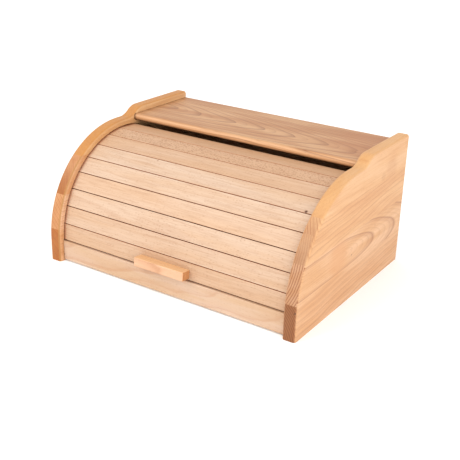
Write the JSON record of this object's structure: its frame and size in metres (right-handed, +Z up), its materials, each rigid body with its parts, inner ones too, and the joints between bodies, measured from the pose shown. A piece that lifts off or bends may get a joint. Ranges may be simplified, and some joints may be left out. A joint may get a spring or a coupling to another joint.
{
  "type": "bread box",
  "caption": "Wooden bread box: rounded side panels carry a slatted roll top that runs in curved grooves over the bread compartment, with a fixed top board, front rail and bar handle.",
  "frame": {"origin": "on the standing plane, under the middle of the whole box's width and depth", "axes": "+X to the right seen from the front, +Y to the back, +Z up"},
  "size_m": [0.39, 0.2938, 0.1845],
  "materials": {
    "side_panel_beech": "oiled satin beech, glued up from boards, end grain at the front",
    "inner_board_beech": "sanded beech",
    "top_board_beech": "oiled satin beech heartwood with a cathedral figure",
    "rail_beech": "oiled satin beech",
    "slat_beech": "oiled satin beech with fine flecks",
    "handle_beech": "oiled satin beech",
    "dowel_beech": "plain beech dowel",
    "canvas": "natural cotton, plain weave",
    "fastener_steel": "bright steel"
  },
  "bodies": {
    "case": {"left_side_panel": "side_panel_beech", "right_side_panel": "side_panel_beech", "base_board": "inner_board_beech", "back_panel": "inner_board_beech", "top_board": "top_board_beech", "front_rail": "rail_beech", "left_rail_dowel_1": "dowel_beech", "left_rail_dowel_2": "dowel_beech", "right_rail_dowel_1": "dowel_beech", "right_rail_dowel_2": "dowel_beech", "back_panel_brad_1": "fastener_steel", "back_panel_brad_2": "fastener_steel", "back_panel_brad_3": "fastener_steel", "back_panel_brad_4": "fastener_steel", "back_panel_brad_5": "fastener_steel", "back_panel_brad_6": "fastener_steel", "back_panel_brad_7": "fastener_steel", "back_panel_brad_8": "fastener_steel", "back_panel_brad_9": "fastener_steel"},
    "roll_top": {"slat_1": "slat_beech", "slat_2": "slat_beech", "slat_3": "slat_beech", "slat_4": "slat_beech", "slat_5": "slat_beech", "slat_6": "slat_beech", "slat_7": "slat_beech", "slat_8": "slat_beech", "slat_9": "slat_beech", "canvas_backing": "canvas", "handle": "handle_beech", "handle_screw_left": "fastener_steel", "handle_screw_right": "fastener_steel"}
  },
  "joints": [
    {"name": "roll_top_turn", "type": "hinge", "parent": "case", "child": "roll_top", "pos_m": [0, -0.00106, 0.031], "axis": [-1, 0, 0], "range_deg": [0, 86]}
  ]
}
